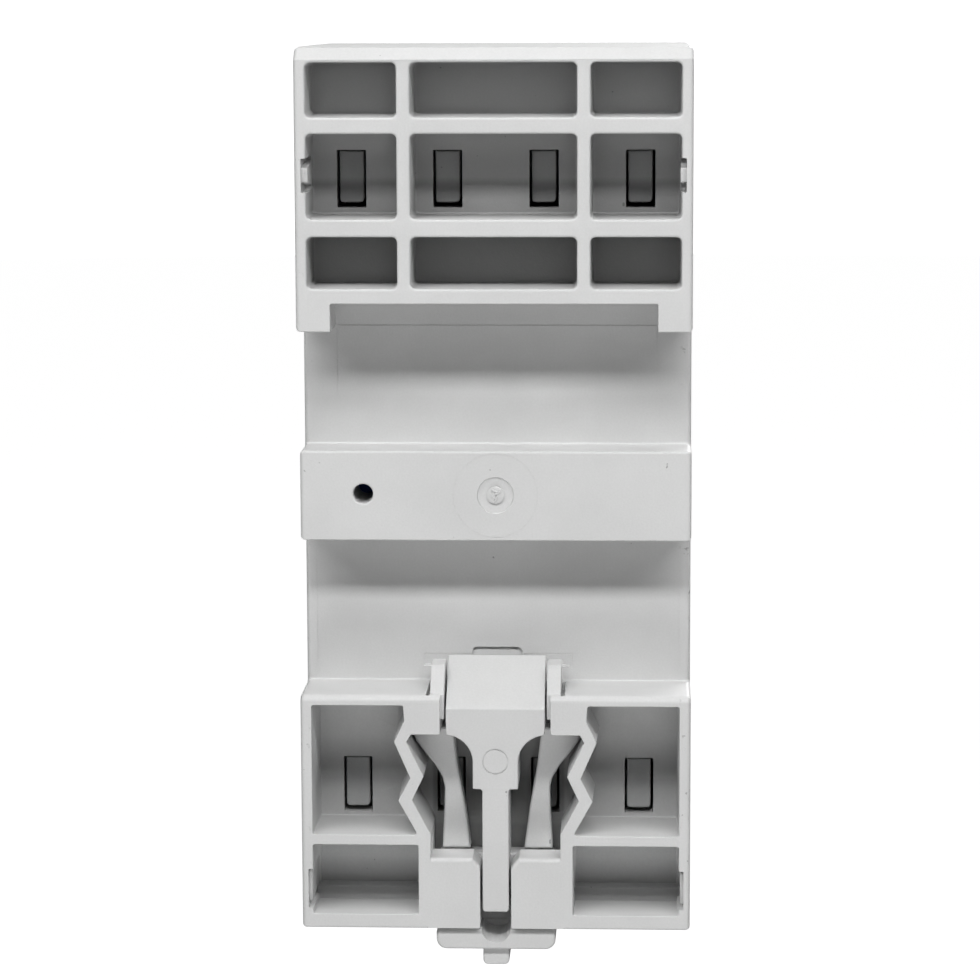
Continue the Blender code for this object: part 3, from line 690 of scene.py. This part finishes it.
def metal(name, colour, rough=0.3, grain=(600, 600, 600), stain=0.12, bump=0.25, seed=0.0):
    """Plated or bare metal: fine drawn or ground lines, slow staining and a duller film in patches."""
    mat = bpy.data.materials.new(name)
    mat.use_nodes = True
    nodes, links = mat.node_tree.nodes, mat.node_tree.links
    shader = nodes["Principled BSDF"]
    shader.inputs["Metallic"].default_value = 1.0
    place, shift = nodes.new("ShaderNodeTexCoord"), nodes.new("ShaderNodeMapping")
    shift.inputs["Location"].default_value = (seed, -seed, seed)
    shift.inputs["Scale"].default_value = grain
    links.new(place.outputs["Object"], shift.inputs["Vector"])
    made = []
    for source, scale, detail in ((shift, 9.0, 3), (place, 420, 4), (place, 150, 2)):
        node = nodes.new("ShaderNodeTexNoise")
        node.inputs["Scale"].default_value, node.inputs["Detail"].default_value = scale, detail
        links.new(source.outputs["Vector" if source is shift else "Object"], node.inputs["Vector"])
        made.append(node.outputs["Fac"])
    lines, film, tone = made
    for source, socket, stops in ((tone, "Base Color", [(0.3, [c * (1 - stain) for c in colour]),
                                                        (0.7, colour)]),
                                  (film, "Roughness", [(0.35, (rough - 0.08,) * 3),
                                                       (0.7, (rough + 0.12,) * 3)])):
        ramp = nodes.new("ShaderNodeValToRGB")
        for element, (at, value) in zip(ramp.color_ramp.elements, stops):
            element.position, element.color = at, (*value, 1.0)
        links.new(source, ramp.inputs["Fac"])
        links.new(ramp.outputs["Color"], shader.inputs[socket])
    rise = nodes.new("ShaderNodeBump")
    rise.inputs["Strength"].default_value, rise.inputs["Distance"].default_value = bump, 0.00001
    links.new(lines, rise.inputs["Height"])
    links.new(rise.outputs["Normal"], shader.inputs["Normal"])
    return mat


zinc = metal("zinc_plated_steel", (0.66, 0.66, 0.64), 0.3, (300, 300, 300), seed=0.4)


def new_tree(name, inputs):
    tree = bpy.data.node_groups.new(name, "GeometryNodeTree")
    tree.interface.new_socket("Geometry", in_out="INPUT", socket_type="NodeSocketGeometry")
    for label, kind in inputs:
        tree.interface.new_socket(label, in_out="INPUT", socket_type=f"NodeSocket{kind}")
    tree.interface.new_socket("Geometry", in_out="OUTPUT", socket_type="NodeSocketGeometry")
    return tree, tree.nodes.new("NodeGroupInput"), tree.nodes.new("NodeGroupOutput")


def close_tree(tree, start, end, shape):
    """Every tree ends in plain geometry that carries the piece's material."""
    real, dress = tree.nodes.new("GeometryNodeRealizeInstances"), tree.nodes.new("GeometryNodeSetMaterial")
    tree.links.new(shape, real.inputs["Geometry"])
    tree.links.new(real.outputs["Geometry"], dress.inputs["Geometry"])
    tree.links.new(start.outputs["Material"], dress.inputs["Material"])
    tree.links.new(dress.outputs["Geometry"], end.inputs["Geometry"])


# a helix of wire along Y, joined to whatever comes in: screw threads and coil springs
coil_tree, start, end = new_tree("wire_helix", [("Turns", "Float"), ("Radius", "Float"), ("Length", "Float"),
                                                ("Wire", "Float"), ("Centre", "Vector"),
                                                ("Material", "Material")])
helix = coil_tree.nodes.new("GeometryNodeCurveSpiral")
helix.inputs["Resolution"].default_value = 20
for socket, label in (("Rotations", "Turns"), ("Start Radius", "Radius"), ("End Radius", "Radius"),
                      ("Height", "Length")):
    coil_tree.links.new(start.outputs[label], helix.inputs[socket])
wire = coil_tree.nodes.new("GeometryNodeCurvePrimitiveCircle")
wire.inputs["Resolution"].default_value = 8
coil_tree.links.new(start.outputs["Wire"], wire.inputs["Radius"])
sweep = coil_tree.nodes.new("GeometryNodeCurveToMesh")
sweep.inputs["Fill Caps"].default_value = True
coil_tree.links.new(helix.outputs["Curve"], sweep.inputs["Curve"])
coil_tree.links.new(wire.outputs["Curve"], sweep.inputs["Profile Curve"])
lay = coil_tree.nodes.new("GeometryNodeTransform")
lay.inputs["Rotation"].default_value = (-math.pi / 2, 0, 0)
coil_tree.links.new(sweep.outputs["Mesh"], lay.inputs["Geometry"])
coil_tree.links.new(start.outputs["Centre"], lay.inputs["Translation"])
both_parts = coil_tree.nodes.new("GeometryNodeJoinGeometry")
coil_tree.links.new(lay.outputs["Geometry"], both_parts.inputs["Geometry"])
coil_tree.links.new(start.outputs["Geometry"], both_parts.inputs["Geometry"])
close_tree(coil_tree, start, end, both_parts.outputs["Geometry"])


def grown(base, tree, mat, **values):
    """Runs a tree on a base shape and gives back plain geometry in millimetres."""
    obj = temporary(base if base else bmesh.new(), "base")
    mod = obj.modifiers.new(tree.name, "NODES")
    mod.node_group = tree
    values["Material"] = mat
    for item in tree.interface.items_tree:
        if item.in_out == "INPUT" and item.name in values:
            mod[item.identifier] = values[item.name]
    data = bpy.data.meshes.new_from_object(obj.evaluated_get(bpy.context.evaluated_depsgraph_get()))
    obj.modifiers.clear()
    bpy.data.objects.remove(obj, do_unlink=True)
    out = bmesh.new()
    out.from_mesh(data)
    bmesh.ops.recalc_face_normals(out, faces=out.faces)
    return out


def screw(x, z, seat, head, head_high, shank, tip, turns, angle):
    """Cheese head with a slot and cross recess, and a thread on its shank; seat is under the head."""
    top = seat - head_high
    bm = turned(x, z, [(head - 0.25, top), (head - 0.1, top + 0.07), (head, top + 0.25), (head, seat - 0.15),
                       (head - 0.12, seat), (shank, seat + 0.02), (shank - 0.12, seat + 0.3),
                       (shank - 0.18, tip - 0.5), (shank - 0.5, tip)], 36)
    slot_ = slab(rect(-head - 1, head + 1, -0.38, 0.38), "y", top - 1, top + head_high * 0.48,
                 0.01, 0.02, 1, 1)
    cross = loft([(top - 0.5, rounded(rect(-0.42, 0.42, -head * 0.62, head * 0.62), 0.1)),
                  (top + head_high * 0.7, rounded(rect(-0.3, 0.3, -head * 0.3, head * 0.3), 0.1))], "y")
    for tool in (slot_, cross):
        tool.transform(Matrix.Translation((x, 0, z)) @ Matrix.Rotation(angle, 4, "Y"))
    bm = carve(bm, [("DIFFERENCE", [slot_]), ("DIFFERENCE", [cross])])
    return grown(bm, coil_tree, zinc, Turns=turns, Radius=shank - 0.17, Length=-(tip - seat - 0.9), Wire=0.15,
                 Centre=(x, tip - 0.5, z))


for i, x in enumerate(POLES):
    for side_name, s in (("top", 1), ("bottom", -1)):
        node = f"terminal_screw_{side_name}_{i + 1}"
        bm = screw(x, s * 33.0, -41.7, 2.7, 1.9, 1.95, -35.9, 7.0, 0.7 * i + (0.4 if s > 0 else 1.9))
        piece(f"clamp_screw_{side_name}_{i + 1}", bm, f"screw_{side_name}_{i + 1}",
              zinc, [node])

# ---------------------------------------------------------------- terminal cages
# A band of zinc plated steel folded into a box, with a tapped top and a ribbed floor that grips the
# wire against the copper bar above it.

# copies of what comes in, in a row: floor ribs, laminations and turns of wire
row_tree, start, end = new_tree("row_of_copies", [("Count", "Int"), ("Step", "Vector"),
                                                  ("Material", "Material")])
line = row_tree.nodes.new("GeometryNodeMeshLine")
row_tree.links.new(start.outputs["Count"], line.inputs["Count"])
row_tree.links.new(start.outputs["Step"], line.inputs["Offset"])
dots = row_tree.nodes.new("GeometryNodeInstanceOnPoints")
row_tree.links.new(line.outputs["Mesh"], dots.inputs["Points"])
row_tree.links.new(start.outputs["Geometry"], dots.inputs["Instance"])
close_tree(row_tree, start, end, dots.outputs["Instances"])


def joined(parts):
    out = bmesh.new()
    for part in parts:
        data = bpy.data.meshes.new("part")
        part.to_mesh(data)
        part.free()
        out.from_mesh(data)
        bpy.data.meshes.remove(data)
    return out


def cage_shape(x, z):
    box = slab(rect(x - 3.4, x + 3.4, z - 3.3, z + 3.3), "y", -38.3, -27.1, 0.15, 0.45)
    way = slab(rect(x - 2.4, x + 2.4, z - 5, z + 5), "y", -36.8, -28.3, 0.1, 0.35)
    tap = turned(x, z, [(2.5, -39.3), (2.42, -38.31), (2.15, -38.0), (2.15, -36.0)])
    seam = slab([(-28.4, z - 4), (-27.0, z - 4), (-27.0, z + 4), (-28.4, z + 4)], "x", x - 0.06, x + 0.06,
                0.01, 0.01, 1, 1)
    shape = carve(box, [("DIFFERENCE", [way]), ("DIFFERENCE", [tap]), ("DIFFERENCE", [seam])])
    rib = slab(rect(x - 2.2, x + 2.2, z - 2.95, z - 2.55), "y", -28.5, -28.12, 0.08, 0.1, 2, 2)
    return joined([shape, grown(rib, row_tree, zinc, Count=6, Step=(0.0, 0.0, 1.1))])


for i, x in enumerate(POLES):
    for side_name, s in (("top", 1), ("bottom", -1)):
        node = f"terminal_cage_{side_name}_{i + 1}"
        piece(f"clamp_cage_{side_name}_{i + 1}", cage_shape(x, s * 33.0),
              f"cage_{side_name}_{i + 1}",
              zinc, [node])

# ---------------------------------------------------------------- coil terminals
# Two small screws in the nose, each with a square washer that travels with it onto the wire, above a
# tapped copper lead that runs back to the coil.

copper = metal("bare_copper", (0.78, 0.42, 0.27), 0.32, (200, 900, 200), stain=0.25, seed=1.1)
for i, s in enumerate((-1, 1)):
    x, z, k = s * 5.5, -17.0, i + 1
    bm = screw(x, z, -58.2, 2.1, 1.5, 1.45, -53.0, 7.0, 0.5 + 1.1 * i)
    piece(f"coil_clamp_screw_{k}", bm, f"coil_screw_{k}", zinc, [f"coil_screw_{k}"])
    washer = slab(rect(x - 2.6, x + 2.6, z - 2.6, z + 2.6), "y", -57.9, -57.1, 0.5, 0.12)
    groove = [slab(rect(x - 3, x + 3, z + d - 0.15, z + d + 0.15), "y", -57.25, -56, 0.02, 0.05)
              for d in (-2.1, 2.1)]
    washer = carve(washer, [("DIFFERENCE", [turned(x, z, [(1.75, -60), (1.75, -55)])]),
                            ("DIFFERENCE", groove)])
    piece(f"square_washer_{k}", washer, f"coil_clamp_{k}", zinc, [f"coil_clamp_{k}"])
    strip = slab(rect(*sorted((s * 7.9, s * 9.7)), -10.4, -9.8), "y", -53.9, -21.6, 0.1, 0.08)
    pad = slab(rect(*sorted((s * 2.9, s * 9.7)), -20.2, -9.8), "y", -54.5, -53.8, 0.6, 0.1)
    lead = carve(strip, [("UNION", [pad]), ("DIFFERENCE", [turned(x, z, [(1.75, -56), (1.75, -52)])])])
    piece(f"coil_strip_{k}", lead, "housing", copper, [f"coil_lead_{k}"])

# ---------------------------------------------------------------- contacts
# Each pole has two fixed copper bars with silver tips, and a moving bridge with two more. The bridge
# stands under a small spring in the carrier, which keeps its tips pressed when it closes.

silver = metal("silver_tips", (0.86, 0.85, 0.82), 0.36, (500, 500, 500), stain=0.3, seed=2.9)
BAR_Y = (-35.6, -34.1)


def tip(x, z, base, face):
    """A low domed rivet head of silver, from its base to its face."""
    out = math.copysign(1, face - base)
    return turned(x, z, [(1.38, base), (1.4, base + out * 0.1), (1.34, face - out * 0.3),
                         (1.1, face - out * 0.08), (0.6, face)] if out > 0 else
                  [(0.6, face), (1.1, face + 0.08), (1.34, face + 0.3), (1.4, base - 0.1), (1.38, base)], 28)


for i, x in enumerate(POLES):
    k = i + 1
    bridge = slab([(-40.9, -11.9), (-39.7, -11.9), (-39.7, 11.9), (-40.9, 11.9)], "x", x - 1.7,
                  x + 1.7, 0.3, 0.25)
    notch = [slab([(-42, z - 1.0), (-38, z - 1.0), (-38, z + 1.0), (-42, z + 1.0)], "x",
                  *sorted((x + s * 1.35, x + s * 3)),
                  0.1, 0.05) for s in (-1, 1) for z in (-3.4, 3.4)]
    piece(f"bridge_bar_{k}", carve(bridge, [("DIFFERENCE", notch)]), f"bridge_{k}", copper,
          [f"contact_bridge_{k}"])
    piece(f"bridge_tips_{k}", joined([tip(x, s * 10.0, -39.75, -38.9) for s in (-1, 1)]), f"bridge_{k}",
          silver)
    for side_name, s in (("top", 1), ("bottom", -1)):
        bar = slab(rect(x - 2.0, x + 2.0, *sorted((s * 8.4, s * 37.2))), "y", *BAR_Y, 0.4, 0.15)
        dimple = turned(x, s * 24.0, [(1.0, -36.5), (1.0, -35.4), (0.6, -35.2)], 24)
        piece(f"fixed_bar_{side_name}_{k}", carve(bar, [("DIFFERENCE", [dimple])]), "housing",
              copper,
              [f"fixed_contact_{side_name}_{k}"])
        piece(f"fixed_tip_{side_name}_{k}", tip(x, s * 10.0, -35.55, -36.6), "housing",
              silver)

# ---------------------------------------------------------------- contact carrier and its springs
# A black moulding that the armature is keyed to. It carries the four bridges on its posts and is
# pushed forward by two steel coil springs, one at each side of the coil.

carrier_plastic = plastic("carrier_black_plastic", (0.028, 0.028, 0.032), rough=0.42, grain=0.8,
                          mottle=0.12, seed=7.7)
yoke = slab(rect(-15.4, 15.4, -6.5, 6.5), "y", -32.55, -29.75, 0.8, 0.3)
posts = [slab(rect(x - 0.8, x + 0.8, -3.4, 3.4), "y", -47.5, -30.75, 0.25, 0.1) for x in (-8.83, 0.0, 8.83)]
beam = slab(rect(-15.4, 15.4, -3.4, 3.4), "y", -48.8, -46.8, 0.5, 0.3)
ribs = [slab(rect(x - 0.3, x + 0.3, -5.8, 5.8), "y", -33.1, -32.3, 0.1, 0.15)
        for x in (-13.0, -4.4, 4.4, 13.0)]
bm = carve(yoke, [("UNION", posts), ("UNION", [beam]), ("UNION", ribs)])
piece("black_carrier", bm, "carrier", carrier_plastic, ["contact_carrier"])

spring_wire = metal("bright_spring_wire", (0.6, 0.6, 0.61), 0.22, (250, 250, 250), stain=0.15, seed=3.3)
for i, s in enumerate((-1, 1)):
    low, high = (c / MM for c in (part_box(f"return_spring_{i + 1}")[0][1],
                                  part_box(f"return_spring_{i + 1}")[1][1]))
    bm = grown(None, coil_tree, spring_wire, Turns=5.0, Radius=1.58, Length=-(high - low - 0.55), Wire=0.24,
               Centre=(s * 12.1, high - 0.27, 0.0))
    obj = piece(f"return_coil_{i + 1}", bm, "housing", spring_wire,
                [f"return_spring_{i + 1}"])
    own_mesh(obj)
for i, x in enumerate(POLES):
    low, high = (c / MM for c in (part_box(f"contact_spring_{i + 1}")[0][1],
                                  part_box(f"contact_spring_{i + 1}")[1][1]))
    bm = grown(None, coil_tree, spring_wire, Turns=4.0, Radius=1.18, Length=-(high - low - 0.45), Wire=0.19,
               Centre=(x, high - 0.22, 0.0))
    obj = piece(f"contact_coil_{i + 1}", bm, "carrier", spring_wire,
                [f"contact_spring_{i + 1}"])
    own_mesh(obj)

# ---------------------------------------------------------------- magnet
# Core and armature are stacks of stamped silicon steel sheets, ground flat where they meet. A copper
# ring sits in a groove of each outer leg, and the coil is wound on a cream nylon bobbin.

sheet_steel = metal("silicon_steel_sheet", (0.36, 0.37, 0.39), 0.42, (60, 1200, 60), stain=0.35, seed=4.2)
E_SHEET = [(-21.5, -13), (-3.9, -13), (-3.9, 13), (-21.5, 13), (-21.5, 11), (-20.3, 11),
           (-20.3, 10.4), (-21.5, 10.4),
           (-21.5, 9.4), (-9.9, 9.4), (-9.9, 3.9), (-21.5, 3.9), (-21.5, -3.9), (-9.9, -3.9), (-9.9, -9.4),
           (-21.5, -9.4), (-21.5, -10.4), (-20.3, -10.4), (-20.3, -11), (-21.5, -11)]
SHEETS, HALF_STACK = 22, 7.3
pitch = 2 * HALF_STACK / SHEETS


def stack(outline):
    one = slab(outline, "x", -HALF_STACK, -HALF_STACK + pitch - 0.03, 0.06, 0.05, 1, 1)
    return grown(one, row_tree, sheet_steel, Count=SHEETS, Step=(pitch, 0.0, 0.0))


piece("core_stack", stack(E_SHEET), "housing", sheet_steel, ["fixed_core"])
a_lo, a_hi = (Vector(c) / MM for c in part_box("armature"))
I_SHEET = [(a_lo.y, a_lo.z), (a_hi.y, a_lo.z), (a_hi.y, a_hi.z), (a_lo.y, a_hi.z)]
piece("armature_stack", stack(I_SHEET), "carrier", sheet_steel, ["armature"])
for side_name, s in (("top", 1), ("bottom", -1)):
    ring = slab(rect(-8.3, 8.3, *sorted((s * 10.55, s * 13.9))), "y", -21.3, -20.5, 0.5, 0.12)
    gap = slab(rect(-7.5, 7.5, *sorted((s * 10.85, s * 13.2))), "y", -24, -18, 0.3, 0.05)
    piece(f"shading_loop_{side_name}", carve(ring, [("DIFFERENCE", [gap])]), "housing", copper,
          [f"shading_ring_{side_name}"])

cream = plastic("cream_nylon", (0.66, 0.6, 0.47), rough=0.5, grain=0.9, mottle=0.07, seed=8.8)
tube = slab(rect(-8.4, 8.4, -5.0, 5.0), "y", -20.9, -10.2, 0.6, 0.1)
flanges = [slab(rect(-14.2, 14.2, -8.9, 8.9), "y", a, b, 1.2, 0.2)
           for a, b in ((-11.1, -10.2), (-21.3, -20.3))]
bore = slab(rect(-7.6, 7.6, -4.2, 4.2), "y", -23, -8, 0.4, 0.05)
nicks = [slab(rect(x - 0.5, x + 0.5, 7.6, 9.5), "y", -23, -20, 0.3, 0.05) for x in (-6.0, 6.0)]
bm = carve(tube, [("UNION", flanges), ("DIFFERENCE", [bore]), ("DIFFERENCE", nicks)])
piece("cream_bobbin", bm, "housing", cream, ["bobbin"])

enamel = metal("enamelled_wire", (0.5, 0.17, 0.06), 0.28, (120, 120, 120), stain=0.3, bump=0.1, seed=5.5)


def hoop(points, y, wire_r, corner, sides=6):
    """One closed turn of wire round an outline."""
    bm = bmesh.new()
    rows = []
    for k in range(sides):
        a = 2 * math.pi * k / sides
        ring = rounded(points, corner, wire_r * math.cos(a), 3)
        rows.append([bm.verts.new((p[0], y + wire_r * math.sin(a), p[1])) for p in ring])
    for k in range(sides):
        a, b = rows[k - 1], rows[k]
        for j in range(len(a)):
            m = (j + 1) % len(a)
            bm.faces.new((a[j], a[m], b[m], b[j]))
    bmesh.ops.recalc_face_normals(bm, faces=bm.faces)
    return bm


WIRE = 0.23
turn_outline = rect(-12.35, 12.35, -8.15, 8.15)
turns = grown(hoop(turn_outline, -19.75, WIRE, 3.0), row_tree, enamel, Count=19, Step=(0.0, 0.4527, 0.0))
under = slab(rect(-12.2, 12.2, -8.0, 8.0), "y", -19.98, -11.42, 2.9, 0.05)
under = carve(under, [("DIFFERENCE", [slab(rect(-8.7, 8.7, -5.3, 5.3), "y", -22, -9, 0.5, 0.05)])])
piece("wound_coil", joined([under, turns]), "housing", enamel, ["coil_winding"])

rubber = plastic("blue_rubber", (0.02, 0.1, 0.42), rough=0.6, grain=0.8, mottle=0.15, seed=9.1)
pad = slab(rect(-14.0, 14.0, -12.0, 12.0), "y", -3.6, -2.1, 1.0, 0.3)
dents = [turned(x, z, [(1.5, -2.25), (1.7, -2.05), (1.7, -1.5)], 24) for x in (-9, -3, 3, 9) for z in (-6, 6)]
piece("rubber_pad", carve(pad, [("DIFFERENCE", dents)]), "housing", rubber, ["damping_pad"])
